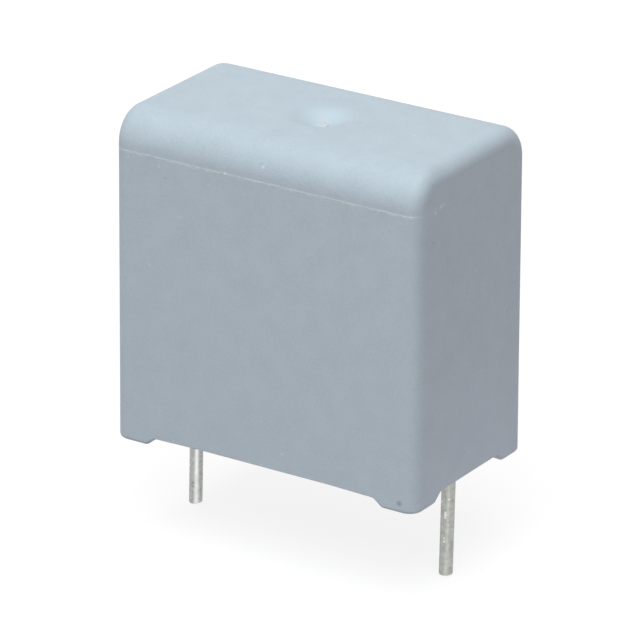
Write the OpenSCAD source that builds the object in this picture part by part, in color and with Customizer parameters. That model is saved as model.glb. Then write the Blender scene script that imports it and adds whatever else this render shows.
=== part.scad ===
// Box film capacitor: a flattened metallised film roll, potted with resin in a moulded box,
// with two wire leads on a 15 mm pitch.
// Origin: on the board seat, midway between the leads. +Z points from the board to the top
// of the case, and +X runs along the case, from the left lead to the right lead.

/* [Case] */
// Width of the case, across the leads' plane
case_w = 10.1; // [9:0.1:12]
// Height of the case, from the bottoms of the feet to the top
case_h = 17.3; // [15:0.1:20]
// Thickness of the side and end walls
wall_t = 0.75; // [0.6:0.05:0.85]
// Thickness of the roof
roof_t = 1.0; // [0.8:0.05:1.3]
// Radius of the two long top edges
top_edge_r = 1.75; // [1.2:0.05:2.2]
// Radius of the edges round each end face
end_edge_r = 0.75; // [0.4:0.05:0.9]
// Radius of the upright corners inside the box
cavity_corner_r = 0.4; // [0.2:0.05:0.6]

/* [Feet] */
// Length of each foot along both of the walls that it stands under
foot_l = 1.9; // [1.2:0.05:2.2]
// Height of the feet, which is the depth of the gaps between them
foot_h = 0.55; // [0.4:0.05:0.7]
// Run of the slope that leads from each foot into the gap beside it
foot_slope_run = 0.5; // [0.3:0.05:0.8]

/* [Mould marks] */
// Diameter of the gate's conical recess in the roof
gate_recess_d = 3.0; // [2:0.1:4]
// Depth of the gate's recess
gate_recess_depth = 0.5; // [0.3:0.05:0.6]
// Diameter of the flat floor of the gate's recess
gate_floor_d = 0.8; // [0.7:0.1:1.4]
// Diameter of the gate's broken-off nub
gate_nub_d = 0.56; // [0.3:0.02:0.66]
// Height of the nub over the floor of its recess
gate_nub_h = 0.17; // [0.1:0.01:0.25]
// Distance from the long top edges' rounding down to the parting line
parting_drop = 0.2; // [0.1:0.05:1]
// Height of the parting line's bead
parting_h = 0.06; // [0.04:0.01:0.15]
// How far the parting line stands proud of the walls
parting_proud = 0.03; // [0.02:0.01:0.06]

/* [Leads] */
// Distance between the centre lines of the two leads
lead_pitch = 15; // [10:0.5:20]
// Diameter of the lead wire
wire_d = 0.7; // [0.6:0.05:0.8]
// Length of the left lead below the board seat
left_lead_l = 5.1; // [3:0.1:12]
// Length of the right lead below the board seat
right_lead_l = 5.3; // [3:0.1:12]
// Chamfer round each lead's cut tip
tip_chamfer = 0.08; // [0.04:0.01:0.15]
// Thickness of the coined blade inside the resin
blade_t = 0.45; // [0.35:0.05:0.55]
// Length of the blade that is welded to the end spray
blade_weld_l = 9; // [6:0.5:10]

/* [Resin] */
// Depth of the resin's open face inside the gaps between the feet
resin_recess = 0.07; // [0.05:0.01:0.1]
// How deep the round wire runs into the resin before it is coined flat
wire_seat = 0.02; // [0.01:0.01:0.03]
// Resin between a lead and the end wall
lead_cover = 0.2; // [0.1:0.05:0.4]
// Resin between the roll's wrap and each side wall
side_cover = 0.35; // [0.2:0.05:0.8]
// Resin between the roll's wrap and the roof
roof_cover = 0.9; // [0.4:0.1:1.4]
// Resin between the roll's wrap and the resin's open face
face_cover = 1.3; // [0.8:0.1:2]

/* [Roll] */
// Thickness of the plain film wrapped round the roll
wrap_t = 0.15; // [0.1:0.05:0.3]
// Thickness of the sprayed metal on each end of the roll
spray_t = 0.45; // [0.3:0.05:0.7]

/* [Hidden] */
$fn = 64;

// How far a cutter runs past the face that it opens
past = 1;

case_l = lead_pitch + wire_d + 2 * (lead_cover + wall_t);
cavity_l = case_l - 2 * wall_t;
cavity_w = case_w - 2 * wall_t;
cavity_top = case_h - roof_t;
cavity_edge_r = top_edge_r - wall_t;
parting_z = case_h - top_edge_r - parting_drop;

lead_x = lead_pitch / 2;
resin_z = foot_h + resin_recess;
wire_top = resin_z + wire_seat;
// Coining keeps the wire's area of section
blade_w = PI * pow(wire_d / 2, 2) / blade_t;

spray_x = lead_x - blade_t / 2;
roll_end_x = spray_x - spray_t;
roll_bottom = resin_z + face_cover;
roll_top = cavity_top - roof_cover;
roll_w = cavity_w - 2 * side_cover;
roll_h = roll_top - roll_bottom;
roll_z = (roll_top + roll_bottom) / 2;
blade_top = roll_bottom + blade_weld_l;

case_colour = [0.66, 0.71, 0.75];
resin_colour = [0.55, 0.58, 0.60];
film_colour = [0.78, 0.78, 0.74];
wrap_colour = [0.88, 0.86, 0.76];
spray_colour = [0.62, 0.63, 0.64];
lead_colour = [0.74, 0.75, 0.74];

// A rectangle centred on the origin, with all four corners rounded
module rounded_rectangle(l, w, r) {
    square([l, w - 2 * r], center = true);
    square([l - 2 * r, w], center = true);
    for (x = [-1, 1], y = [-1, 1])
        translate([x * (l / 2 - r), y * (w / 2 - r)])
            circle(r);
}

// A rectangle that stands on y = 0, with its two top corners rounded
module arched_rectangle(l, h, r) {
    translate([-l / 2, 0])
        square([l, h - r]);
    translate([r - l / 2, 0])
        square([l - 2 * r, h]);
    for (x = [-1, 1])
        translate([x * (l / 2 - r), h - r])
            circle(r);
}

// One long top edge: a quarter turn of the arched outline about an axis along X
module long_edge(l, edge_r, end_r) {
    rotate([0, -90, 0])
        rotate_extrude(angle = 90)
            rotate(-90)
                arched_rectangle(l, edge_r, end_r);
}

// A box with upright corners and end edges of radius end_r and long top edges of radius edge_r
module box(l, w, h, edge_r, end_r) {
    flat_w = w - 2 * edge_r;
    linear_extrude(h - edge_r)
        rounded_rectangle(l, w, end_r);
    translate([0, flat_w / 2, h - edge_r])
        rotate([90, 0, 0])
            linear_extrude(flat_w)
                arched_rectangle(l, edge_r, end_r);
    for (turn = [0, 180])
        rotate(turn)
            translate([0, flat_w / 2, h - edge_r])
                long_edge(l, edge_r, end_r);
}

// The inside of the case, from a given height up to the roof
module cavity(from_z) {
    translate([0, 0, from_z])
        box(cavity_l, cavity_w, cavity_top - from_z, cavity_edge_r, cavity_corner_r);
}

// The gap between two feet, for a wall of length l, cut through a depth of d
module foot_gap(l, d) {
    foot_x = l / 2 - foot_l;
    gap_x = foot_x - foot_slope_run;
    rotate([90, 0, 0])
        linear_extrude(d, center = true)
            polygon([
                [-foot_x, -past], [foot_x, -past], [foot_x, 0],
                [gap_x, foot_h], [-gap_x, foot_h], [-foot_x, 0]
            ]);
}

// The gate's recess: a cone that opens upwards from a flat floor
module gate_recess() {
    slope = (gate_recess_d - gate_floor_d) / 2 / gate_recess_depth;
    translate([0, 0, case_h - gate_recess_depth])
        cylinder(
            h = gate_recess_depth + past,
            d1 = gate_floor_d,
            d2 = gate_recess_d + 2 * slope * past
        );
}

module gate_nub() {
    translate([0, 0, case_h - gate_recess_depth])
        cylinder(h = gate_nub_h, d = gate_nub_d);
}

module parting_line() {
    translate([0, 0, parting_z - parting_h / 2])
        linear_extrude(parting_h)
            rounded_rectangle(
                case_l + 2 * parting_proud,
                case_w + 2 * parting_proud,
                end_edge_r + parting_proud
            );
}

// The cross-section of the pressed roll: two round ends and a straight stretch, standing along Y
module roll_outline(inset) {
    r = roll_w / 2 - inset;
    straight = roll_h - roll_w;
    square([2 * r, straight], center = true);
    for (y = [-1, 1])
        translate([0, y * straight / 2])
            circle(r);
}

// A length of the roll's outline along X, from x1 to x2
module roll_slice(x1, x2, inset) {
    translate([x1, 0, roll_z])
        rotate([90, 0, 90])
            linear_extrude(x2 - x1)
                roll_outline(inset);
}

// One lead: a round tail with a chamfered tip, and a blade coined flat inside the resin
module lead(tail_l) {
    r = wire_d / 2;
    rotate_extrude()
        polygon([
            [0, -tail_l], [r - tip_chamfer, -tail_l], [r, tip_chamfer - tail_l],
            [r, wire_top], [0, wire_top]
        ]);
    translate([-blade_t / 2, -blade_w / 2, wire_top])
        cube([blade_t, blade_w, blade_top - wire_top]);
}

module case() {
    color(case_colour)
        union() {
            difference() {
                union() {
                    box(case_l, case_w, case_h, top_edge_r, end_edge_r);
                    parting_line();
                }
                cavity(-past);
                foot_gap(case_l, case_w + 2 * past);
                rotate(90)
                    foot_gap(case_w, case_l + 2 * past);
                gate_recess();
            }
            gate_nub();
        }
}

module potting_resin() {
    color(resin_colour)
        difference() {
            cavity(resin_z);
            roll_slice(-spray_x, spray_x, 0);
            lead_left();
            lead_right();
        }
}

module film_winding() {
    color(film_colour)
        roll_slice(-roll_end_x, roll_end_x, wrap_t);
}

module winding_wrap() {
    color(wrap_colour)
        difference() {
            roll_slice(-roll_end_x, roll_end_x, 0);
            roll_slice(-roll_end_x - past, roll_end_x + past, wrap_t);
        }
}

module end_spray_left() {
    color(spray_colour)
        roll_slice(-spray_x, -roll_end_x, 0);
}

module end_spray_right() {
    color(spray_colour)
        roll_slice(roll_end_x, spray_x, 0);
}

module lead_left() {
    color(lead_colour)
        translate([-lead_x, 0, 0])
            lead(left_lead_l);
}

module lead_right() {
    color(lead_colour)
        translate([lead_x, 0, 0])
            lead(right_lead_l);
}

case();
potting_resin();
film_winding();
winding_wrap();
end_spray_left();
end_spray_right();
lead_left();
lead_right();
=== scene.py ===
"""Looks of the box film capacitor: moulded case, potting resin, tinned leads and the roll inside."""
import math
from collections import namedtuple

import bmesh
import bpy
from mathutils import Matrix, Vector, noise


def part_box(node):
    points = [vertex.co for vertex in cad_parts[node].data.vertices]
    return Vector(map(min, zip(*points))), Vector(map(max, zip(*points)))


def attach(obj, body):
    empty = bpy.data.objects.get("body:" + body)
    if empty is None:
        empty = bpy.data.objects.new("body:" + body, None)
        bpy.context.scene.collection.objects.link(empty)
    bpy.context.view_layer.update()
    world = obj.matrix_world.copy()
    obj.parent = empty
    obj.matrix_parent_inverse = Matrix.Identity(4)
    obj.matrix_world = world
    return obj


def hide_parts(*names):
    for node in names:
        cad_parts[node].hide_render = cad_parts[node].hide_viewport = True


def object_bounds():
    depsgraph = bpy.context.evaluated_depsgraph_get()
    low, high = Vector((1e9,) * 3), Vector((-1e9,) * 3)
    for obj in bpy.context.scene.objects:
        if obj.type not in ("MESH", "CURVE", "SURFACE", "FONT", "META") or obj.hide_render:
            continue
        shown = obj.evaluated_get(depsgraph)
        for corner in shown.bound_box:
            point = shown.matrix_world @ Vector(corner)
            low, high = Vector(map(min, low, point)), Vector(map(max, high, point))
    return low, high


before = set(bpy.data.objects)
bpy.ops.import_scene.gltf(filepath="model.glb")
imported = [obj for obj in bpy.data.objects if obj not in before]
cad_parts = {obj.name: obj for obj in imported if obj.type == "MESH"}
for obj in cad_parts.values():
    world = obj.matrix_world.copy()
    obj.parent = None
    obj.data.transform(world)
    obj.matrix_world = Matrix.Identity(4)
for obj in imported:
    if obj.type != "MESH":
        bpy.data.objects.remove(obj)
cad_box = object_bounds()

# Lengths below are in millimetres, and meshes are scaled to metres when they are made
MM = 0.001


# ---------------------------------------------------------------- sizes from the frame

def node_box(node):
    """Lowest and highest corners of a CAD node, in millimetres."""
    low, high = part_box(node)
    return Vector(low) / MM, Vector(high) / MM


NODE_BOXES = {node: node_box(node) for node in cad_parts}
CASE_HIGH = NODE_BOXES["case"][1]
RESIN_LOW, RESIN_HIGH = NODE_BOXES["potting_resin"]

# The parting line: how far it stands proud, its height, its distance below the long rounded
# edges in the CAD case, and how much lower it lies here
PARTING_PROUD = 0.03
PARTING_H = 0.06
PARTING_DROP = 0.2
PARTING_LOWER = 0.045
# How far the case's faces wave in and out
WAVINESS = 0.004

CASE_HALF_L = CASE_HIGH.x - PARTING_PROUD
CASE_HALF_W = CASE_HIGH.y - PARTING_PROUD
CASE_TOP = CASE_HIGH.z - WAVINESS
# Radius of the long top edges, and of the edges round the two end faces
TOP_EDGE_R = 1.75
END_EDGE_R = 0.75
# Rounding of the outer lower edge, under the feet and in the gaps between them
FOOT_EDGE_R = 0.19
GAP_EDGE_R = 0.04
# Rounding of the inner lower edge
RIM_EDGE_R = 0.05
# Long upper edges and upright corners of the cavity, which the resin fills
CAVITY_EDGE_R = 1.0
CAVITY_CORNER_R = 0.4
PARTING_Z = CASE_HIGH.z - TOP_EDGE_R - PARTING_DROP - PARTING_LOWER

# How much each side leans inwards for each millimetre of height
DRAFT = 0.0029

# Distance from the corner to the middle of each foot's slope, and the slope's run
FOOT_MID = 2.15
FOOT_SLOPE_RUN = 0.62
# Height of the gaps between the feet
GAP_H = 0.51
# Share by which the long walls' gaps are lower near the feet than at mid wall, and over what length
ARCH_SHARE = 0.12
ARCH_RUN = 3.6

# The gate's recess in the top: its rim, depth and flat floor, and over what length the rim rounds
GATE_R = 1.5
GATE_DEPTH = 0.5
GATE_FLOOR_R = 0.4
GATE_RIM_SOFTNESS = 0.11
# The gate lies a little off the middle of the top
GATE_OFFSET = Vector((0.2, -0.11, 0))
# Radius round the gate within which the top is built in loops, and half the side of the hole
# that they fill in the top's grid
GATE_OUTER_R = 2.0
GATE_HOLE_HALF = 2.3
# The broken nub in the recess: its radius along X, how much less it is along Y, and its height
NUB_R = 0.33
NUB_SQUASH = 0.75
NUB_H = 0.1

# Radius of the round wire
WIRE_R = 0.35
# Height of the resin's open face
RESIN_Z = RESIN_LOW.z

# A box with upright corners of radius end_r, which also rounds the edges of its two end faces,
# long top edges of radius edge_r, gaps of height gap_h between its feet, and lower edges of radius
# foot_r at the feet and gap_r in the gaps
Box = namedtuple("Box", "half_l half_w top edge_r end_r gap_h foot_r gap_r")
CASE = Box(
    CASE_HALF_L, CASE_HALF_W, CASE_TOP, TOP_EDGE_R, END_EDGE_R, GAP_H, FOOT_EDGE_R, GAP_EDGE_R
)
CAVITY = Box(
    RESIN_HIGH.x, RESIN_HIGH.y, RESIN_HIGH.z, CAVITY_EDGE_R, CAVITY_CORNER_R,
    GAP_H, RIM_EDGE_R, RIM_EDGE_R
)
RESIN = CAVITY._replace(gap_h=0.0)

# One lead: its piece's name and CAD node, how far its wire stands off its blade's middle along X
# and Y where it leaves the resin and at its tip, the bevel, burr and slant of the cut across its
# tip, and the seed of its die lines and nicks
Lead = namedtuple("Lead", "piece node root tip cut_r burr slant seed")
LEADS = (
    Lead(
        "left_lead_wire", "lead_left", Vector((0.17, 0.11)), Vector((0.085, 0.055)),
        cut_r=0.1, burr=0.03, slant=0.0, seed=31
    ),
    Lead(
        "right_lead_wire", "lead_right", Vector((0.085, 0.055)), Vector((0.01, 0.005)),
        cut_r=0.06, burr=0.0, slant=0.1, seed=37
    ),
)
# Points round each lead
LEAD_TURNS = 56
# Top of the round wire, just inside the resin, and the height over which it then turns into its
# flat blade
WIRE_TOP = RESIN_Z + 0.02
COIN_RUN = 0.5
# Half the blade's thickness
BLADE_HALF_T = 0.225
# How much the wire's die lines stand in and out, and how deep its nicks are
DIE_LINE_H = 0.002
NICK_DEPTH = 0.012
# Which way the wider side of each lead's bevel faces, and the bevel's width on the other side
BEVEL_WAY = math.radians(33)
LEAST_BEVEL = 0.03

# Half the side of the square of the resin's face that is built in loops round each wire
WIRE_PATCH_HALF = 0.95
# The resin's open face: how far its middle sank, how much it waves, and how far it climbed the
# walls and the wires, each with the distance over which the climb fades
RESIN_SINK = 0.02
RESIN_WAVES = 0.006
WALL_CLIMB = 0.05
WALL_CLIMB_RUN = 0.22
WIRE_CLIMB = 0.13
WIRE_CLIMB_RUN = 0.16

# A lead's tin: its roughness and colour, the place and half width across the wire in wire radii
# of its painted highlight (a bright line along the wire) and how strong it is, and single marks as
# (place across the wire in wire radii, height, radius, colour)
Tin = namedtuple("Tin", "roughness dull streak_at streak_half streak marks")
LEFT_TIN = Tin(0.3, (0.385, 0.395, 0.385), 0.08, 0.55, 1.0, (
    (-0.41, -3.88, 0.075, (0.26, 0.265, 0.25)),
    (-0.41, -4.10, 0.07, (0.28, 0.285, 0.27)),
))
RIGHT_TIN = Tin(0.5, (0.41, 0.42, 0.39), 0.02, 0.5, 0.25, (
    (-0.35, -1.80, 0.09, (0.72, 0.74, 0.72)),
    (-0.33, -1.93, 0.1, (0.8, 0.82, 0.8)),
    (-0.36, -2.06, 0.09, (0.72, 0.74, 0.72)),
))

# The camera's direction from the part, its roll, the place that it aims at, its distance from
# that place in millimetres, and its focal length for the sensor's width
CAMERA_AZIMUTH = math.radians(32.98)
CAMERA_ELEVATION = math.radians(22.22)
CAMERA_ROLL = 0.005519
CAMERA_TARGET_Z = 6.806
CAMERA_SHIFT = (0.0447, -0.2360)
CAMERA_DISTANCE = 271.77
CAMERA_LENS = 311.46
CAMERA_SENSOR = 36
# Level direction to the right across the camera's view
ACROSS_VIEW = Vector((math.cos(CAMERA_AZIMUTH), math.sin(CAMERA_AZIMUTH), 0))

# Colours of the case: its clouds from dark to light, its fine grain, and its dark and pale specks
CASE_DARK = (0.385, 0.454, 0.513)
CASE_LIGHT = (0.415, 0.488, 0.549)
CASE_GRAIN = (0.456, 0.537, 0.605)
CASE_SPECK = (0.35, 0.415, 0.47)
CASE_PALE = (0.47, 0.55, 0.605)
# Pale flash along the parting line, which also paints light over the shade on the bead's lower side,
# and the torn plastic on the gate's nub
CASE_FLASH_AND_PAINTED_LIGHT = (0.60, 0.66, 0.69)
GATE_TORN = (0.50, 0.535, 0.565)
# Painted light: a paler colour that brightens the gate's recess
CASE_RECESS_PAINTED_LIGHT = (0.447, 0.535, 0.596)
# Epoxy from dark to light, and the painted shade in its pinholes
EPOXY_DARK = (0.30, 0.34, 0.37)
EPOXY_LIGHT = (0.37, 0.41, 0.44)
EPOXY_PINHOLE_SHADE = (0.14, 0.16, 0.17)
# Painted highlight along the tin's bright line, and the tin's bright specks
TIN_PAINTED_HIGHLIGHT = (0.93, 0.95, 0.93)
TIN_SPECK = (0.8, 0.8, 0.78)
# The roll's film, its wrap and its sprayed zinc, each from dark to light
FILM_DARK = (0.62, 0.62, 0.57)
FILM_LIGHT = (0.8, 0.8, 0.76)
WRAP_DARK = (0.82, 0.79, 0.66)
WRAP_LIGHT = (0.9, 0.88, 0.78)
ZINC_DARK = (0.34, 0.35, 0.36)
ZINC_LIGHT = (0.66, 0.67, 0.68)
# Single marks on the case as (place, radius, colour): pale and dark spots, and a pale nib
CASE_MARKS = (
    ((7.92, -5.05, 0.53), 0.2, (0.28, 0.33, 0.37)),
    ((-2.18, -5.01, 15.36), 0.11, (0.62, 0.66, 0.68)),
    ((-0.05, -4.91, 16.10), 0.13, (0.50, 0.60, 0.67)),
    ((-0.16, -4.88, 16.22), 0.09, (0.34, 0.42, 0.48)),
    ((-5.68, -5.01, 14.38), 0.1, (0.34, 0.40, 0.43)),
    ((8.76, -2.74, 15.36), 0.14, (0.50, 0.58, 0.63)),
    ((8.76, -2.96, 15.32), 0.14, (0.52, 0.60, 0.64)),
    ((8.76, -3.42, 15.16), 0.13, (0.56, 0.62, 0.66)),
    ((8.76, -3.63, 13.71), 0.09, (0.31, 0.37, 0.42)),
    ((8.77, -0.48, 10.06), 0.08, (0.31, 0.37, 0.42)),
    ((8.77, 0.41, 10.95), 0.1, (0.50, 0.58, 0.63)),
    ((8.77, -4.80, 11.70), 0.1, (0.52, 0.60, 0.64)),
)


# ---------------------------------------------------------------- small helpers

def smooth(t):
    """Eases from 0 to 1 as t goes from 0 to 1."""
    t = min(max(t, 0.0), 1.0)
    return t * t * (3 - 2 * t)


def spread(low, high, count):
    """Count equal steps from low to high, with both ends."""
    return [low + (high - low) * i / count for i in range(count + 1)]


def ripple(point, size, seed):
    """Smooth noise from -1 to 1 that varies over about the given size."""
    return noise.noise(point / size + Vector((seed, 1.7 * seed, 2.3 * seed)))


def turns_round(count):
    """Equal turns round a full circle."""
    return spread(0, 2 * math.pi, count)[:-1]


def around(at, left, right, front, rear):
    """Points of a grid round a block of its cells, anticlockwise."""
    return (
        [at(i, front) for i in range(left, right)]
        + [at(right, j) for j in range(front, rear)]
        + [at(i, rear) for i in range(right, left, -1)]
        + [at(left, j) for j in range(rear, front, -1)]
    )


def grid_faces(bm, rows):
    """Faces between neighbouring rows of points."""
    verts = [[bm.verts.new(point) for point in row] for row in rows]
    for low, high in zip(verts, verts[1:]):
        for i in range(len(low) - 1):
            bm.faces.new((low[i], low[i + 1], high[i + 1], high[i]))


def loop_faces(bm, loops):
    """Faces between neighbouring closed loops of points."""
    grid_faces(bm, [loop + loop[:1] for loop in loops])


def fan(bm, loop, centre):
    """Closes a loop of points with triangles to a centre."""
    verts = [bm.verts.new(point) for point in loop]
    middle = bm.verts.new(centre)
    for a, b in zip(verts, verts[1:] + verts[:1]):
        bm.faces.new((a, b, middle))


def make_object(name, bm):
    """Turns a bmesh in millimetres into an object with a closed mesh in metres."""
    merge_distance = 0.0002
    bmesh.ops.remove_doubles(bm, verts=bm.verts[:], dist=merge_distance)
    bmesh.ops.recalc_face_normals(bm, faces=bm.faces[:])
    bmesh.ops.scale(bm, vec=Vector((MM, MM, MM)), verts=bm.verts[:])
    mesh = bpy.data.meshes.new(name)
    bm.to_mesh(mesh)
    bm.free()
    made = bpy.data.objects.new(name, mesh)
    bpy.context.scene.collection.objects.link(made)
    return made


def make_piece(name, bm, replaced, material):
    """Turns a bmesh in millimetres into a smooth piece that rides on the part."""
    crease = math.radians(50)
    piece = make_object(name, bm)
    mesh = piece.data
    mesh.polygons.foreach_set("use_smooth", [True] * len(mesh.polygons))
    mesh.set_sharp_from_angle(angle=crease)
    mesh.materials.append(material)
    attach(piece, "root")
    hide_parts(*replaced)
    return piece


# ---------------------------------------------------------------- box forms

def gap_height(box, place, half):
    """Height of a wall's lower edge at a place along it: 0 at the feet, gap_h at mid wall."""
    inside = half - FOOT_MID + FOOT_SLOPE_RUN / 2 - abs(place)
    sag = 0.0
    if half > 2 * ARCH_RUN:
        sag = ARCH_SHARE * (1 - smooth(inside / ARCH_RUN))
    return box.gap_h * smooth(inside / FOOT_SLOPE_RUN) * (1 - sag)


def edge_radius(box, gap):
    """Radius of a wall's lower edge, which is sharper in the gaps than at the feet."""
    return box.foot_r + (box.gap_r - box.foot_r) * smooth(gap / GAP_H)


def lifted(box, z, gap):
    """Height of a wall's row above a gap: the lowest row follows it, and higher ones less and less."""
    fade_h = 3.0
    lift = gap + edge_radius(box, gap) - box.foot_r
    return z + lift * (1 - smooth((z - box.foot_r) / fade_h))


def columns(box, count, turns):
    """Stations along X as (x of the core, turn of the end edge), from the left end to the right."""
    flat = box.half_l - box.end_r
    quarter = spread(0, math.pi / 2, turns)
    left = [(-flat, -turn) for turn in reversed(quarter[1:])]
    middle = [(x, 0.0) for x in spread(-flat, flat, count)]
    right = [(flat, turn) for turn in quarter[1:]]
    return left + middle + right


def front_rows(box, heights, steps):
    """Rows of the front wall and its top edge as (y of the core, z of the core, tilt)."""
    wall_y = box.end_r - box.half_w
    arc_r = box.edge_r - box.end_r
    arc_y = box.edge_r - box.half_w
    arc_z = box.top - box.edge_r
    rows = [(wall_y, z, 0.0) for z in heights]
    for tilt in spread(0, math.pi / 2, steps)[1:]:
        rows.append((arc_y - arc_r * math.cos(tilt), arc_z + arc_r * math.sin(tilt), tilt))
    return rows


def wrap_point(box, column, row, side):
    """A point of the long sides or the top, and its normal."""
    core_x, turn = column
    core_y, core_z, tilt = row
    normal = Vector((
        math.sin(turn),
        side * math.cos(turn) * math.cos(tilt),
        math.cos(turn) * math.sin(tilt)
    ))
    core = Vector((core_x, core_y if side < 0 else -core_y, core_z))
    if tilt == 0:
        core.z = lifted(box, core.z, gap_height(box, core_x, CASE_HALF_L))
    return core + box.end_r * normal, normal


def box_shell(bm, box, cols, rows, across, place, hole=None):
    """The walls and the top of a box, without its open underside."""
    for side in (-1, 1):
        grid_faces(bm, [
            [place(*wrap_point(box, column, row, side)) for column in cols] for row in rows
        ])
    top_y = spread(rows[-1][0], -rows[-1][0], across)
    top_rows = [(y, rows[-1][1], math.pi / 2) for y in top_y]
    top = [[place(*wrap_point(box, column, row, -1)) for column in cols] for row in top_rows]
    if hole is None:
        grid_faces(bm, top)
    else:
        left, right, front, rear = hole
        grid_faces(bm, top[:front + 1])
        grid_faces(bm, top[rear:])
        grid_faces(bm, [line[:left + 1] for line in top[front:rear + 1]])
        grid_faces(bm, [line[right:] for line in top[front:rear + 1]])
    for side in (-1, 1):
        grid_faces(bm, [end_row(box, row, side, across, place) for row in rows])


def end_row(box, row, side, across, place):
    """One row of points across an end face."""
    core_y, core_z, tilt = row
    normal = Vector((side, 0, 0))
    points = []
    for y in spread(core_y, -core_y, across):
        z = core_z
        if tilt == 0:
            z = lifted(box, z, gap_height(box, y, CASE_HALF_W))
        points.append(place(Vector((side * box.half_l, y, z)), normal))
    return points


def plan_loop(box, cols, across):
    """Points and outward normals round the box's walls, with the height of the gap at each."""
    loop = []
    for core_x, turn in cols:
        normal = Vector((math.sin(turn), -math.cos(turn), 0))
        core = Vector((core_x, box.end_r - box.half_w, 0))
        loop.append((core + box.end_r * normal, normal, gap_height(box, core_x, CASE_HALF_L)))
    for y in spread(box.end_r - box.half_w, box.half_w - box.end_r, across)[1:-1]:
        loop.append((Vector((box.half_l, y, 0)), Vector((1, 0, 0)), gap_height(box, y, CASE_HALF_W)))
    opposite = [
        (Vector((-point.x, -point.y, 0)), -normal, gap) for point, normal, gap in loop
    ]
    return loop + opposite


# ---------------------------------------------------------------- case

def bead_height(point):
    """How far the parting line stands proud at a point of a wall: it strays, swells and has nicks."""
    along = Vector((point.x, point.y, 0))
    stray = 0.012 * ripple(along, 0.6, 12)
    distance = (point.z + stray - PARTING_Z) / (PARTING_H * 0.6)
    if abs(distance) > 3:
        return 0.0
    swell = 0.28 + 0.15 * ripple(along, 0.5, 3) + 0.45 * ripple(along, 0.2, 5)
    share = min(max(swell, 0.0), 0.98)
    nick = smooth((ripple(along, 0.35, 9) - 0.3) / 0.12)
    return PARTING_PROUD * share * (1 - 0.8 * nick) * math.exp(-distance ** 2)


def drafted(point):
    """Leans the sides inwards as they rise."""
    lean = DRAFT * max(point.z, 0.0)
    return Vector((
        point.x * (1 - lean / CASE_HALF_L),
        point.y * (1 - lean / CASE_HALF_W),
        point.z
    ))


def case_place(point, normal):
    """A point of the outer surface, with its draft, its waves and the parting line.

    The parting line is fainter on the end faces.
    """
    wave = WAVINESS * ripple(point, 4.0, 2)
    bead = bead_height(point) * (1 - 0.8 * smooth((abs(normal.x) - 0.6) / 0.4))
    return drafted(point) + (bead + wave) * normal


def cavity_place(point, normal):
    """A point of the cavity, which is plain."""
    return point


def case_wall_heights():
    """Heights of the wall's rows: close at the base and at the parting line."""
    arc_z = CASE_TOP - TOP_EDGE_R
    base = [FOOT_EDGE_R, 0.23, 0.3, 0.42, 0.6, 0.9, 1.3, 1.8, 2.4, 3.1]
    steps = (-1.6, -1, -0.7, -0.4, -0.2, 0, 0.2, 0.4, 0.7, 1, 1.6)
    bead = [PARTING_Z + PARTING_H * step for step in steps]
    middle = spread(base[-1], bead[0] - 0.1, 14)[1:]
    return base + middle + bead + [arc_z - 0.04, arc_z]


def gate_depth(radius):
    """Depth of the gate's conical recess at a radius, with a soft rim and a flat floor."""
    slope = GATE_DEPTH / (GATE_R - GATE_FLOOR_R)
    reach = (GATE_R - radius) / GATE_RIM_SOFTNESS
    cone = slope * GATE_RIM_SOFTNESS * math.log1p(math.exp(min(reach, 40)))
    return min(cone, GATE_DEPTH)


def nub_top(x, y):
    """Height of the nub's broken top over the recess's floor."""
    place = Vector((x, y, 0))
    return NUB_H + 0.015 * ripple(place, 0.25, 4) + 0.008 * ripple(place, 0.08, 6) + 0.03 * y


def gate_loops(top_z, angles):
    """Loops of the recess and the nub from the outside in, as lists of points round the gate."""
    loops = []
    radii = spread(GATE_OUTER_R, GATE_FLOOR_R, 22)[1:] + [GATE_FLOOR_R - 0.01, NUB_R + 0.03]
    for radius in radii:
        loop = []
        for a in angles:
            wobble = 1 + 0.02 * ripple(Vector((math.cos(a), math.sin(a), 0)), 0.7, 8)
            z = top_z - gate_depth(radius * wobble)
            loop.append(Vector((radius * math.cos(a), radius * math.sin(a), z)) + GATE_OFFSET)
        loops.append(loop)
    # The nub's profile as (distance out from its radius, share of its height)
    profile = ((0.01, 0.06), (-0.01, 0.3), (-0.03, 0.65), (-0.06, 0.92), (-0.11, 1), (-0.22, 1))
    for out, share in profile:
        loop = []
        for a in angles:
            x = (NUB_R + out) * math.cos(a)
            y = (NUB_R + out) * NUB_SQUASH * math.sin(a)
            z = top_z - GATE_DEPTH + share * nub_top(x, y)
            loop.append(Vector((x, y, z)) + GATE_OFFSET)
        loops.append(loop)
    return loops


def gate_patch(bm, boundary):
    """The gate's recess and nub, inside a closed boundary of points on the top face."""
    angles = [math.atan2(point.y - GATE_OFFSET.y, point.x - GATE_OFFSET.x) for point in boundary]
    loops = [boundary]
    for share in (0.34, 0.67, 1.0):
        loop = []
        for point, a in zip(boundary, angles):
            ring = Vector((GATE_OUTER_R * math.cos(a), GATE_OUTER_R * math.sin(a), point.z))
            loop.append(point.lerp(ring + GATE_OFFSET, share))
        loops.append(loop)
    top_z = sum(point.z for point in boundary) / len(boundary)
    loops += gate_loops(top_z, angles)
    loop_faces(bm, loops)
    fan(bm, loops[-1], Vector((0, 0, top_z - GATE_DEPTH + nub_top(0, 0))) + GATE_OFFSET)


def hole_round_gate(cols, top_y):
    """Indices of the columns and rows that bound the gate's patch."""
    inside_x = [
        i for i, (x, turn) in enumerate(cols) if abs(x) < GATE_HOLE_HALF and turn == 0
    ]
    inside_y = [j for j, y in enumerate(top_y) if abs(y) < GATE_HOLE_HALF]
    return inside_x[0], inside_x[-1], inside_y[0], inside_y[-1]


def hole_boundary(box, cols, row, across, hole, place):
    """The points round the gate's patch, anticlockwise."""
    top_y = spread(row[0], -row[0], across)

    def at(i, j):
        return place(*wrap_point(box, cols[i], (top_y[j], row[1], math.pi / 2), -1))

    return around(at, *hole)


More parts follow.
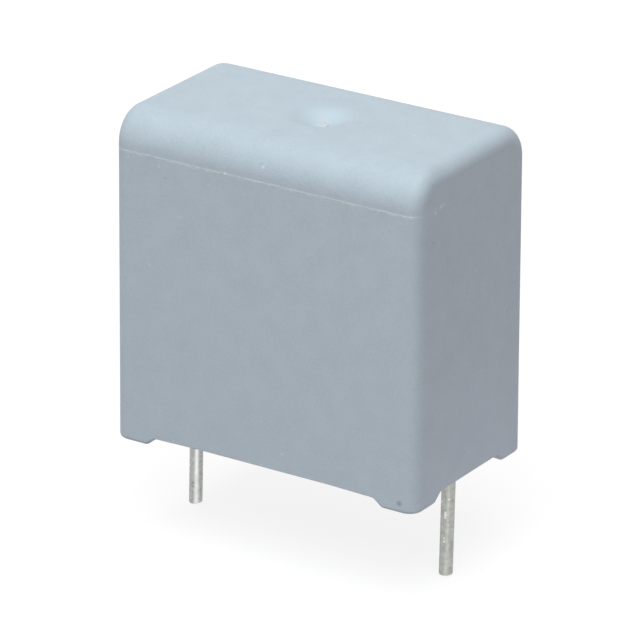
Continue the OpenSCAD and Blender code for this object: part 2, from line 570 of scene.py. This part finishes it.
def edge_loop(box, plan, turn, way, place):
    """One loop round a lower edge, at a turn from 0 on the wall to a quarter below the rim.

    The way is -1 where the rim lies inside the plan, and 1 where it lies outside it.
    """
    loop = []
    for point, normal, gap in plan:
        radius = edge_radius(box, gap)
        flat = point + way * radius * (1 - math.cos(turn)) * normal
        height = gap + radius * (1 - math.sin(turn))
        loop.append(place(Vector((flat.x, flat.y, height)), normal))
    return loop


def base_loops(outer, inner):
    """Closed loops from the outer wall, round its edge and across the rim, to the cavity's wall."""
    outside = [edge_loop(CASE, outer, turn, -1, case_place) for turn in spread(0, math.pi / 2, 5)]
    inside = [edge_loop(CAVITY, inner, turn, 1, cavity_place) for turn in spread(math.pi / 2, 0, 3)]
    return outside + inside


def build_case(material):
    """The case: its outer surface with the gate's recess, its cavity, and the rim between them."""
    along = 118
    across = 44
    turns = 7
    cols = columns(CASE, along, turns)
    rows = front_rows(CASE, case_wall_heights(), 16)
    hole = hole_round_gate(cols, spread(rows[-1][0], -rows[-1][0], across))
    bm = bmesh.new()
    box_shell(bm, CASE, cols, rows, across, case_place, hole)
    gate_patch(bm, hole_boundary(CASE, cols, rows[-1], across, hole, case_place))
    inner_cols = columns(CAVITY, along, turns)
    inner_heights = [RIM_EDGE_R, 0.5, 2.0, 6.0, 11.0, CAVITY.top - CAVITY.edge_r]
    inner_rows = front_rows(CAVITY, inner_heights, 6)
    box_shell(bm, CAVITY, inner_cols, inner_rows, across, cavity_place)
    loop_faces(bm, base_loops(plan_loop(CASE, cols, across), plan_loop(CAVITY, inner_cols, across)))
    make_piece("moulded_case", bm, ["case"], material)


# ---------------------------------------------------------------- leads

def wire_centre(lead, z):
    """Centre of a lead at a height: it leans a little, and stands off its blade's middle."""
    low, high = NODE_BOXES[lead.node]
    down = min(max((RESIN_Z - z) / (RESIN_Z - low.z), 0.0), 1.0)
    offset = lead.root.lerp(lead.tip, down) * (1 - smooth((z - RESIN_Z) / COIN_RUN))
    return Vector(((low.x + high.x) / 2 + offset.x, offset.y, z))


def wire_radius(lead, z, turn):
    """Radius of the drawn wire, with faint die lines along it and shallow nicks."""
    lines = Vector((math.cos(turn), math.sin(turn), 0.02 * z))
    nicks = Vector((WIRE_R * math.cos(turn), WIRE_R * math.sin(turn), z))
    radius = WIRE_R - 2 * DIE_LINE_H + DIE_LINE_H * ripple(lines, 0.12, lead.seed)
    depth = NICK_DEPTH * smooth((ripple(nicks, 0.13, lead.seed + 1) - 0.35) / 0.3)
    return radius - depth


def lead_loop(lead, z):
    """One loop round a lead: round in the tail, and flat in the blade."""
    blade_half_w = NODE_BOXES[lead.node][1].y
    flatness = smooth((z - WIRE_TOP) / COIN_RUN)
    centre = wire_centre(lead, z)
    loop = []
    for turn in turns_round(LEAD_TURNS):
        side_x = abs(math.cos(turn)) / BLADE_HALF_T
        side_y = abs(math.sin(turn)) / blade_half_w
        blade = 1 / max(side_x, side_y)
        radius = (1 - flatness) * wire_radius(lead, z, turn) + flatness * blade
        loop.append(centre + radius * Vector((math.cos(turn), math.sin(turn), 0)))
    return loop


def tip_loops(lead):
    """Loops from the middle of the cut face out to the wire, with a bevel wider on one side."""
    tip_z = NODE_BOXES[lead.node][0].z
    ridge_h = 0.02
    loops = []
    for share in (0.15, 0.4, 0.7, 0.92, 1.0):
        loop = []
        for turn in turns_round(LEAD_TURNS):
            facing = math.cos(turn - BEVEL_WAY)
            across = math.sin(turn - BEVEL_WAY)
            bevel = LEAST_BEVEL + (lead.cut_r - LEAST_BEVEL) * (0.5 + 0.5 * facing)
            radius = (wire_radius(lead, tip_z + lead.cut_r, turn) - bevel) * share
            ridge = ridge_h * (1 - share * abs(across))
            burr = lead.burr * (1 - share ** 4 * max(-facing, 0.0) ** 3)
            slant = lead.slant * (0.5 - 0.5 * share * across)
            place = Vector((radius * math.cos(turn), radius * math.sin(turn), 0))
            loop.append(wire_centre(lead, tip_z + ridge + burr + slant) + place)
        loops.append(loop)
    return loops


def build_lead(lead, material):
    """A lead: its cut tip, its round tail, and the blade that is coined flat inside the resin."""
    low, high = NODE_BOXES[lead.node]
    step = 0.07
    tail_z = low.z + lead.cut_r + lead.slant
    heights = spread(tail_z, WIRE_TOP, round((WIRE_TOP - tail_z) / step))
    heights += spread(WIRE_TOP, WIRE_TOP + COIN_RUN, 8)[1:]
    heights += spread(WIRE_TOP + COIN_RUN, high.z, 6)[1:]
    bm = bmesh.new()
    tip = tip_loops(lead)
    loops = tip + [lead_loop(lead, z) for z in heights]
    loop_faces(bm, loops)
    fan(bm, tip[0], sum(tip[0], Vector()) / len(tip[0]))
    fan(bm, loops[-1], wire_centre(lead, high.z))
    return make_piece(lead.piece, bm, [lead.node], material)


# ---------------------------------------------------------------- potting resin

def resin_face_z(x, y):
    """Height of the resin's open face: it sank a little, and climbed the walls and the wires."""
    middle = smooth(1 - abs(x) / RESIN.half_l) * smooth(1 - abs(y) / RESIN.half_w)
    uneven = RESIN_WAVES * ripple(Vector((x, y, 0)), 2.2, 21)
    wall = min(RESIN.half_l - abs(x), RESIN.half_w - abs(y))
    climb = WALL_CLIMB * math.exp(-max(wall, 0.0) / WALL_CLIMB_RUN)
    for lead in LEADS:
        centre = wire_centre(lead, RESIN_Z)
        reach = math.hypot(x - centre.x, y - centre.y) - WIRE_R
        climb += WIRE_CLIMB * math.exp(-max(reach, 0.0) / WIRE_CLIMB_RUN)
    return RESIN_Z + RESIN_SINK * middle + uneven - climb


def resin_place(point, normal):
    """Brings the lower edge of the resin's walls to the open face's edge."""
    if point.z <= RESIN_Z:
        point.z = resin_face_z(point.x, point.y)
    return point


def corner_lines(flat, radius, count, sections):
    """Grid lines from -flat - radius to flat + radius that meet a rounded corner's points."""
    turns = spread(0, math.pi / 4, sections)[1:]
    outer = [flat + radius * math.sqrt(2) * math.sin(turn) for turn in turns]
    return [-line for line in reversed(outer)] + spread(-flat, flat, count) + outer


def rounded_corner(x, y, flat_x, flat_y, radius):
    """Moves a point of a square corner onto a round one."""
    u = max(abs(x) - flat_x, 0.0) / radius
    v = max(abs(y) - flat_y, 0.0) / radius
    if u == 0 or v == 0:
        return x, y
    round_x = flat_x + radius * u * math.sqrt(1 - v * v / 2)
    round_y = flat_y + radius * v * math.sqrt(1 - u * u / 2)
    return math.copysign(round_x, x), math.copysign(round_y, y)


def wire_patch(bm, boundary, centre):
    """The resin's face round one wire. Its inner part lies inside the wire, which cuts it away."""
    radii = (0.68, 0.6, 0.53, 0.47, 0.43, 0.4, 0.375, 0.355, 0.32, 0.2)
    angles = [math.atan2(y - centre.y, x - centre.x) for x, y in boundary]
    loops = [boundary]
    for radius in radii:
        loops.append([
            (centre.x + radius * math.cos(a), centre.y + radius * math.sin(a)) for a in angles
        ])
    raised = [[Vector((x, y, resin_face_z(x, y))) for x, y in loop] for loop in loops]
    loop_faces(bm, raised)
    fan(bm, raised[-1], Vector((centre.x, centre.y, raised[-1][0].z)))


def in_block(i, j, left, right, front, rear):
    """Whether a cell of a grid lies in a block of its cells."""
    return left <= i < right and front <= j < rear


def resin_face(bm, along, across, turns):
    """The resin's open face: a grid with a patch round each wire."""
    # How far past the start of the corner a patch may reach
    beside_corner = 0.12
    radius = RESIN.end_r
    flat_x = RESIN.half_l - radius
    flat_y = RESIN.half_w - radius
    lines_x = corner_lines(flat_x, radius, along, turns // 2)
    lines_y = corner_lines(flat_y, radius, across, turns // 2)

    def at(i, j):
        return rounded_corner(lines_x[i], lines_y[j], flat_x, flat_y, radius)

    patches = []
    for lead in LEADS:
        centre = wire_centre(lead, RESIN_Z)
        near_x = [
            i for i, x in enumerate(lines_x)
            if abs(x - centre.x) < WIRE_PATCH_HALF and abs(x) <= flat_x + beside_corner
        ]
        near_y = [j for j, y in enumerate(lines_y) if abs(y - centre.y) < WIRE_PATCH_HALF]
        patch = (near_x[0], near_x[-1], near_y[0], near_y[-1])
        patches.append(patch)
        wire_patch(bm, around(at, *patch), centre)
    for j in range(len(lines_y) - 1):
        for i in range(len(lines_x) - 1):
            if any(in_block(i, j, *patch) for patch in patches):
                continue
            corners = (at(i, j), at(i + 1, j), at(i + 1, j + 1), at(i, j + 1))
            bm.faces.new([bm.verts.new((x, y, resin_face_z(x, y))) for x, y in corners])


def roll_cutter():
    """A solid of the roll and its end sprays, to hollow the resin with."""
    low, high = NODE_BOXES["end_spray_right"]
    radius = high.y
    outline = []
    for start, centre_z in ((0.0, high.z - radius), (math.pi, low.z + radius)):
        for turn in spread(start, start + math.pi, 24):
            outline.append((radius * math.cos(turn), centre_z + radius * math.sin(turn)))
    loops = [[Vector((x, y, z)) for y, z in outline] for x in (-high.x, high.x)]
    bm = bmesh.new()
    loop_faces(bm, loops)
    for loop in loops:
        fan(bm, loop, Vector((loop[0].x, 0, (low.z + high.z) / 2)))
    return make_object("roll_cutter", bm)


def cut_away(piece, cutters):
    """Takes other objects' solids out of a piece."""
    for cutter in cutters:
        cut = piece.modifiers.new("cut", "BOOLEAN")
        cut.operation = "DIFFERENCE"
        cut.solver = "MANIFOLD"
        cut.object = cutter
    graph = bpy.context.evaluated_depsgraph_get()
    shaped = bpy.data.meshes.new_from_object(piece.evaluated_get(graph))
    piece.modifiers.clear()
    piece.data = shaped


def build_resin(material, lead_pieces):
    """The resin: its open face, its walls against the case, and the hollow that the roll fills."""
    along = 60
    across = 30
    turns = 6
    cols = columns(RESIN, along, turns)
    heights = [RESIN_Z, 1.5, 5.0, 10.0, RESIN.top - RESIN.edge_r]
    bm = bmesh.new()
    box_shell(bm, RESIN, cols, front_rows(RESIN, heights, 6), across, resin_place)
    resin_face(bm, along, across, turns)
    resin = make_piece("cast_resin", bm, ["potting_resin"], material)
    cutter = roll_cutter()
    cut_away(resin, [cutter] + lead_pieces)
    bpy.data.objects.remove(cutter)


# ---------------------------------------------------------------- materials

def new_material(name, roughness):
    """A material with a Principled shader, as (material, shader)."""
    material = bpy.data.materials.new(name)
    material.use_nodes = True
    shader = material.node_tree.nodes["Principled BSDF"]
    shader.inputs["Roughness"].default_value = roughness
    return material, shader


def add_node(owner, kind, **settings):
    """A new shader node in a material or world."""
    node = owner.node_tree.nodes.new("ShaderNode" + kind)
    for name, value in settings.items():
        setattr(node, name, value)
    return node


def join(owner, source, target):
    """Links two sockets of a material or world."""
    owner.node_tree.links.new(source, target)


def maths(owner, operation, *terms):
    """The value of a Math node, from numbers and sockets."""
    node = add_node(owner, "Math", operation=operation)
    for socket, term in zip(node.inputs, terms):
        if isinstance(term, (int, float)):
            socket.default_value = term
        else:
            join(owner, term, socket)
    return node.outputs["Value"]


def times(owner, first, second):
    """The product of two values."""
    return maths(owner, "MULTIPLY", first, second)


def place_of(material):
    """Each point's place in its mesh, in metres."""
    return add_node(material, "TexCoord").outputs["Object"]


def part_of(owner, vector, axis):
    """The X, Y or Z of a vector."""
    apart = add_node(owner, "SeparateXYZ")
    join(owner, vector, apart.inputs["Vector"])
    return apart.outputs[axis]


def distance_from(owner, vector, place):
    """Distance of a vector from a place that is given in millimetres."""
    reach = add_node(owner, "VectorMath", operation="DISTANCE")
    reach.inputs[1].default_value = Vector(place) * MM
    join(owner, vector, reach.inputs[0])
    return reach.outputs["Value"]


def grain(material, size, detail=2.0, stretch=(1, 1, 1)):
    """Noise from 0 to 1 that varies over about the given size, in millimetres."""
    mapping = add_node(material, "Mapping")
    mapping.inputs["Scale"].default_value = stretch
    texture = add_node(material, "TexNoise")
    texture.inputs["Scale"].default_value = 1 / (size * MM)
    texture.inputs["Detail"].default_value = detail
    join(material, place_of(material), mapping.inputs["Vector"])
    join(material, mapping.outputs["Vector"], texture.inputs["Vector"])
    return texture.outputs["Fac"]


def specks(material, spacing, size, share):
    """1 in small round specks, in a share of the cells that lie about a spacing apart."""
    cells = add_node(material, "TexVoronoi")
    cells.inputs["Scale"].default_value = 1 / (spacing * MM)
    join(material, place_of(material), cells.inputs["Vector"])
    edge = size / spacing
    round_speck = ranged(material, cells.outputs["Distance"], edge, 0.5 * edge, 0, 1)
    apart = add_node(material, "SeparateColor")
    join(material, cells.outputs["Color"], apart.inputs["Color"])
    chosen = ranged(material, apart.outputs["Red"], 1 - share, 1 - share + 0.01, 0, 1)
    return times(material, round_speck, chosen)


def ranged(owner, source, low, high, to_low, to_high):
    """Maps a value from one range to another, and holds it there."""
    node = add_node(owner, "MapRange")
    node.inputs["From Min"].default_value = low
    node.inputs["From Max"].default_value = high
    node.inputs["To Min"].default_value = to_low
    node.inputs["To Max"].default_value = to_high
    join(owner, source, node.inputs["Value"])
    return node.outputs["Result"]


def blended(material, share, first, second):
    """Mixes two colours by a share; each is a tuple or a socket."""
    # The node's colour sockets are its inputs 6 and 7 and its output 2
    node = add_node(material, "Mix", data_type="RGBA")
    join(material, share, node.inputs[0])
    for socket, colour in ((node.inputs[6], first), (node.inputs[7], second)):
        if isinstance(colour, tuple):
            socket.default_value = (*colour, 1)
        else:
            join(material, colour, socket)
    return node.outputs[2]


def bumped(material, shader, layers):
    """Bumps a shader's normal with layers of (height socket, depth in millimetres)."""
    normal = None
    for height, depth in layers:
        node = add_node(material, "Bump")
        node.inputs["Strength"].default_value = 1.0
        node.inputs["Distance"].default_value = depth * MM
        join(material, height, node.inputs["Height"])
        if normal is not None:
            join(material, normal, node.inputs["Normal"])
        normal = node.outputs["Normal"]
    join(material, normal, shader.inputs["Normal"])


def height_band(material, low, high, soft):
    """1 between two heights in millimetres, easing to 0 over a distance outside them."""
    height = part_of(material, place_of(material), "Z")
    rise = ranged(material, height, (low - soft) * MM, low * MM, 0, 1)
    fall = ranged(material, height, high * MM, (high + soft) * MM, 1, 0)
    return times(material, rise, fall)


def near_gate(material, radius, soft):
    """1 within a radius of the gate's axis in millimetres, easing to 0 outside it."""
    flat = add_node(material, "VectorMath", operation="MULTIPLY")
    flat.inputs[1].default_value = (1, 1, 0)
    join(material, place_of(material), flat.inputs[0])
    reach = distance_from(material, flat.outputs["Vector"], GATE_OFFSET)
    return ranged(material, reach, radius * MM, (radius + soft) * MM, 1, 0)


def marked(material, tone, marks):
    """Adds single marks: each is a place and radius in millimetres, and a colour."""
    for place, radius, colour in marks:
        reach = distance_from(material, place_of(material), place)
        spot = ranged(material, reach, 0.3 * radius * MM, radius * MM, 1, 0)
        tone = blended(material, spot, tone, colour)
    return tone


def fainter_at_ends(material, share):
    """1 on the long sides, and a share on the two end faces."""
    along = maths(material, "ABSOLUTE", part_of(material, place_of(material), "X"))
    end = CASE_HALF_L * MM
    return ranged(material, along, end - 0.35 * MM, end - 0.12 * MM, 1, share)


def case_plastic():
    """Grey blue moulded plastic: a fine grain, faint clouds, specks, marks, pale flash that also
    paints light over the shade under the parting line, and painted light in the gate's recess.
    """
    material, shader = new_material("grey_blue_moulded_plastic", 0.55)
    clouds = grain(material, 1.3, detail=5.0)
    tone = blended(material, ranged(material, clouds, 0.3, 0.7, 0, 1), CASE_DARK, CASE_LIGHT)
    # Painted light: the gate's recess is made paler to brighten it
    recess_painted_light = near_gate(material, 1.0, 0.55)
    tone = blended(material, recess_painted_light, tone, CASE_RECESS_PAINTED_LIGHT)
    fine = grain(material, 0.14, detail=3.0)
    tone = blended(material, ranged(material, fine, 0.35, 0.75, 0, 0.6), tone, CASE_GRAIN)
    tone = blended(material, specks(material, spacing=0.8, size=0.08, share=0.03), tone, CASE_SPECK)
    tone = blended(material, specks(material, spacing=0.6, size=0.1, share=0.07), tone, CASE_PALE)
    # Pale flash, mostly on the bead's lower side: real flash, and painted light over the shade there
    flash_and_painted_light = height_band(material, PARTING_Z - 0.05, PARTING_Z + 0.03, 0.07)
    frayed = ranged(material, grain(material, 0.22, detail=3.0), 0.35, 0.75, 0.1, 0.7)
    frayed = times(material, frayed, fainter_at_ends(material, 0.2))
    tone = blended(material, times(material, flash_and_painted_light, frayed), tone, CASE_FLASH_AND_PAINTED_LIGHT)
    gate_z = CASE_TOP - GATE_DEPTH
    torn = height_band(material, gate_z + 0.05, gate_z + 0.3, 0.02)
    tone = blended(material, times(material, torn, near_gate(material, NUB_R, 0.04)), tone, GATE_TORN)
    tone = marked(material, tone, CASE_MARKS)
    join(material, tone, shader.inputs["Base Color"])
    join(material, ranged(material, fine, 0.3, 0.7, 0.5, 0.62), shader.inputs["Roughness"])
    bumped(material, shader, ((grain(material, 0.11, detail=3.0), 0.01), (grain(material, 0.9), 0.01)))
    return material


def epoxy_resin():
    """Filled grey epoxy with a semi-matt skin, faint flow clouds, and pinholes drawn as dark specks of
    painted shade.
    """
    material, shader = new_material("filled_grey_epoxy", 0.38)
    clouds = grain(material, 1.1, detail=5.0)
    tone = blended(material, ranged(material, clouds, 0.3, 0.7, 0, 1), EPOXY_DARK, EPOXY_LIGHT)
    # Painted shade: pinholes drawn as dark specks
    tone = blended(material, specks(material, spacing=0.45, size=0.06, share=0.25), tone, EPOXY_PINHOLE_SHADE)
    join(material, tone, shader.inputs["Base Color"])
    join(material, ranged(material, clouds, 0.3, 0.7, 0.3, 0.46), shader.inputs["Roughness"])
    bumped(material, shader, ((grain(material, 0.5, detail=3.0), 0.012),))
    return material


def across_view(material, lead):
    """Distance from a lead's middle line along ACROSS_VIEW, in wire radii."""
    top = wire_centre(lead, RESIN_Z)
    tip = wire_centre(lead, NODE_BOXES[lead.node][0].z)
    lean = (top - tip).dot(ACROSS_VIEW) / (top.z - tip.z)
    along = add_node(material, "VectorMath", operation="DOT_PRODUCT")
    along.inputs[1].default_value = (ACROSS_VIEW - Vector((0, 0, lean))) / (WIRE_R * MM)
    join(material, place_of(material), along.inputs[0])
    middle = (tip.dot(ACROSS_VIEW) - tip.z * lean) / WIRE_R
    return maths(material, "SUBTRACT", along.outputs["Value"], middle)


def painted_highlight_streak(material, lead, look):
    """Painted highlight: a bright line along the wire, placed across it by the view's direction; it
    widens towards the tip, and is broken up a little.
    """
    tip_z = NODE_BOXES[lead.node][0].z
    height = part_of(material, place_of(material), "Z")
    wide = ranged(material, height, tip_z * MM, RESIN_Z * MM, 1.0, 0.45)
    offset = maths(material, "SUBTRACT", across_view(material, lead), look.streak_at)
    share = maths(material, "DIVIDE", maths(material, "ABSOLUTE", offset), wide)
    line = ranged(material, share, 0.15 * look.streak_half, look.streak_half, 1, 0)
    patches = grain(material, 0.4, detail=3.0)
    highlight_breakup = ranged(material, patches, 0.3, 0.6, 0.7 * look.streak, look.streak)
    return times(material, line, highlight_breakup)


def on_wire(lead, across, z):
    """A place on the wire's front side, at a share of its radius to the right of its middle."""
    front = Vector((ACROSS_VIEW.y, -ACROSS_VIEW.x, 0))
    outward = across * ACROSS_VIEW + math.sqrt(1 - across * across) * front
    return wire_centre(lead, z) + WIRE_R * outward


def tinned_wire(name, lead, look):
    """Drawn tin: fine lines along the wire, dull and bright patches, small pits painted as dark specks
    of shade, and a painted highlight line.
    """
    material, shader = new_material(name, look.roughness)
    shader.inputs["Metallic"].default_value = 1.0
    dark, light, bright, pit_shade = (tuple(share * c for c in look.dull) for share in (0.8, 1.2, 1.3, 0.5))
    lines = grain(material, 0.05, detail=3.0, stretch=(1, 1, 0.05))
    patches = grain(material, 0.22, detail=4.0)
    tone = blended(material, ranged(material, patches, 0.35, 0.65, 0, 1), dark, light)
    tone = blended(material, ranged(material, lines, 0.4, 0.8, 0, 0.5), tone, bright)
    # Painted highlight: a bright line along the wire
    tone = blended(material, painted_highlight_streak(material, lead, look), tone, TIN_PAINTED_HIGHLIGHT)
    tone = blended(material, specks(material, spacing=0.2, size=0.07, share=0.14), tone, TIN_SPECK)
    # Painted shade: small pits drawn as dark specks
    tone = blended(material, specks(material, spacing=0.3, size=0.09, share=0.1), tone, pit_shade)
    marks = [(on_wire(lead, across, z), radius, colour) for across, z, radius, colour in look.marks]
    tone = marked(material, tone, marks)
    join(material, tone, shader.inputs["Base Color"])
    rough = ranged(material, patches, 0.3, 0.7, look.roughness - 0.07, look.roughness + 0.07)
    join(material, rough, shader.inputs["Roughness"])
    bumped(material, shader, ((lines, 0.002), (grain(material, 0.12, detail=3.0), 0.006)))
    return material


def wound_film():
    """The roll's edges of metallised film: fine layers round the winding."""
    material, shader = new_material("metallised_film_layers", 0.3)
    shader.inputs["Metallic"].default_value = 0.6
    layers = grain(material, 0.06, detail=2.0, stretch=(0.02, 1, 1))
    join(material, blended(material, layers, FILM_DARK, FILM_LIGHT), shader.inputs["Base Color"])
    bumped(material, shader, ((layers, 0.004),))
    return material


def wrap_film():
    """Clear film in several turns, slightly yellow."""
    material, shader = new_material("clear_wrap_film", 0.2)
    clouds = grain(material, 1.5, detail=2.0)
    join(material, blended(material, clouds, WRAP_DARK, WRAP_LIGHT), shader.inputs["Base Color"])
    bumped(material, shader, ((clouds, 0.01),))
    return material


def sprayed_zinc():
    """Coarse sprayed zinc: a dull grey crust of fine droplets."""
    material, shader = new_material("sprayed_zinc_crust", 0.7)
    shader.inputs["Metallic"].default_value = 0.7
    crust = grain(material, 0.1, detail=5.0)
    join(material, blended(material, crust, ZINC_DARK, ZINC_LIGHT), shader.inputs["Base Color"])
    bumped(material, shader, ((crust, 0.04),))
    return material


def dress_node(node, material):
    """Gives a CAD node that stays as it is its material."""
    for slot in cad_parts[node].material_slots:
        slot.material = material


# ---------------------------------------------------------------- stage, lights and camera

# The floor's own colour, how much it glows where it is seen, and the faint pink light that the
# studio's table throws back
FLOOR_ALBEDO = 0.2
FLOOR_GLOW = 0.83
FLOOR_BOUNCE = (0.22, 0.182, 0.193)
# The table throws back more light round a place to the right of the part: how many times as
# much, and between which distances it falls off
LIT_PLACE = (17.0, 0.0, 0.0)
LIT_STRENGTH = 3.0
LIT_NEAR = 6.0
LIT_FAR = 11.0
# Light from all round the studio, and the share by which its horizon is darker to the right of
# the part, and brighter to its left
AMBIENT = (0.505, 0.437, 0.458)
AMBIENT_LEAN = 0.5
# The key lamp: the height that it aims at, its azimuth and elevation in degrees, its distance
# and size in metres, its power in watts and its faint cyan colour
KEY_TARGET_Z = 6
KEY_AZIMUTH = 18
KEY_ELEVATION = 62.5
KEY_DISTANCE = 0.5
KEY_SIZE = 0.5
KEY_POWER = 2.58
KEY_COLOUR = (0.885, 1.0, 0.965)
WHITE = (1, 1, 1)


def by_ray(owner, unseen, seen):
    """One shader where it is seen or mirrored, and another for the light that it gives off."""
    rays = add_node(owner, "LightPath").outputs
    straight = maths(owner, "MAXIMUM", rays["Is Camera Ray"], rays["Is Glossy Ray"])
    any_of = maths(owner, "MAXIMUM", straight, rays["Is Transmission Ray"])
    mixed = add_node(owner, "MixShader")
    join(owner, any_of, mixed.inputs[0])
    join(owner, unseen.outputs[0], mixed.inputs[1])
    join(owner, seen.outputs[0], mixed.inputs[2])
    return mixed.outputs[0]


def glow_node(owner, kind, colour, strength):
    """An emission or background shader of one colour."""
    glow = add_node(owner, kind)
    glow.inputs["Color"].default_value = (*colour, 1)
    glow.inputs["Strength"].default_value = strength
    return glow


def floor_material():
    """Pale floor that shows shadows on a white ground."""
    material = bpy.data.materials.new("floor_white")
    material.use_nodes = True
    material.node_tree.nodes.clear()
    diffuse = add_node(material, "BsdfDiffuse")
    diffuse.inputs["Color"].default_value = (FLOOR_ALBEDO, FLOOR_ALBEDO, FLOOR_ALBEDO, 1)
    bounce = glow_node(material, "Emission", FLOOR_BOUNCE, 1.0)
    reach = distance_from(material, place_of(material), LIT_PLACE)
    lit = ranged(material, reach, LIT_NEAR * MM, LIT_FAR * MM, LIT_STRENGTH, 1.0)
    join(material, lit, bounce.inputs["Strength"])
    glow = glow_node(material, "Emission", WHITE, FLOOR_GLOW)
    both = add_node(material, "AddShader")
    join(material, diffuse.outputs[0], both.inputs[0])
    join(material, by_ray(material, bounce, glow), both.inputs[1])
    out = add_node(material, "OutputMaterial")
    join(material, both.outputs[0], out.inputs["Surface"])
    return material


def add_floor():
    """Plain floor under the tips of the leads."""
    # In metres
    half_side = 1.5
    bm = bmesh.new()
    bmesh.ops.create_grid(bm, x_segments=1, y_segments=1, size=half_side)
    mesh = bpy.data.meshes.new("floor")
    bm.to_mesh(mesh)
    bm.free()
    mesh.materials.append(floor_material())
    floor = bpy.data.objects.new("floor", mesh)
    floor.location.z = cad_box[0].z
    bpy.context.scene.collection.objects.link(floor)


def add_world():
    """White studio: seen as white, and lighting the part softly from all round."""
    world = bpy.data.worlds.new("studio")
    bpy.context.scene.world = world
    world.use_nodes = True
    world.node_tree.nodes.clear()
    ambient = glow_node(world, "Background", AMBIENT, 1.0)
    way = add_node(world, "TexCoord").outputs["Generated"]
    low = ranged(world, part_of(world, way, "Z"), 0, 1, 1, 0)
    sideways = times(world, part_of(world, way, "X"), low)
    strength = ranged(world, sideways, -1, 1, 1 + AMBIENT_LEAN, 1 - AMBIENT_LEAN)
    join(world, strength, ambient.inputs["Strength"])
    white = glow_node(world, "Background", WHITE, 1.0)
    out = add_node(world, "OutputWorld")
    join(world, by_ray(world, ambient, white), out.inputs["Surface"])


def direction(azimuth, elevation):
    """Unit vector from the part towards a viewer or a lamp."""
    return Vector((
        math.sin(azimuth) * math.cos(elevation),
        -math.cos(azimuth) * math.cos(elevation),
        math.sin(elevation)
    ))


def add_key_lamp():
    """Round soft lamp, aimed at the middle of the part."""
    middle = Vector((0, 0, KEY_TARGET_Z * MM))
    data = bpy.data.lights.new("key", "AREA")
    data.shape = "DISK"
    data.size = KEY_SIZE
    data.energy = KEY_POWER
    data.color = KEY_COLOUR
    lamp = bpy.data.objects.new("key", data)
    towards = direction(math.radians(KEY_AZIMUTH), math.radians(KEY_ELEVATION))
    lamp.location = middle + KEY_DISTANCE * towards
    lamp.rotation_euler = towards.to_track_quat("Z", "Y").to_euler()
    lamp.visible_camera = False
    bpy.context.scene.collection.objects.link(lamp)


def add_camera():
    """Camera at the photograph's viewing angle."""
    back = direction(CAMERA_AZIMUTH, CAMERA_ELEVATION)
    up = back.cross(ACROSS_VIEW)
    right_rolled = math.cos(CAMERA_ROLL) * ACROSS_VIEW + math.sin(CAMERA_ROLL) * up
    up_rolled = math.cos(CAMERA_ROLL) * up - math.sin(CAMERA_ROLL) * ACROSS_VIEW
    target = Vector((0, 0, CAMERA_TARGET_Z * MM))
    target += CAMERA_SHIFT[0] * MM * right_rolled + CAMERA_SHIFT[1] * MM * up_rolled
    data = bpy.data.cameras.new("camera")
    data.sensor_width = CAMERA_SENSOR
    data.lens = CAMERA_LENS
    data.clip_start = 0.01
    data.clip_end = 10
    camera = bpy.data.objects.new("camera", data)
    axes = Matrix((right_rolled, up_rolled, back)).transposed()
    camera.matrix_world = Matrix.Translation(target + CAMERA_DISTANCE * MM * back) @ axes.to_4x4()
    bpy.context.scene.collection.objects.link(camera)
    bpy.context.scene.camera = camera


# ---------------------------------------------------------------- the scene

add_camera()
add_floor()
add_world()
add_key_lamp()

build_case(case_plastic())
tins = (
    tinned_wire("dull_tin_left", LEADS[0], LEFT_TIN),
    tinned_wire("dull_tin_right", LEADS[1], RIGHT_TIN),
)
lead_pieces = [build_lead(lead, tin) for lead, tin in zip(LEADS, tins)]
build_resin(epoxy_resin(), lead_pieces)
dress_node("film_winding", wound_film())
dress_node("winding_wrap", wrap_film())
zinc = sprayed_zinc()
dress_node("end_spray_left", zinc)
dress_node("end_spray_right", zinc)

bpy.context.scene.view_settings.view_transform = "Standard"
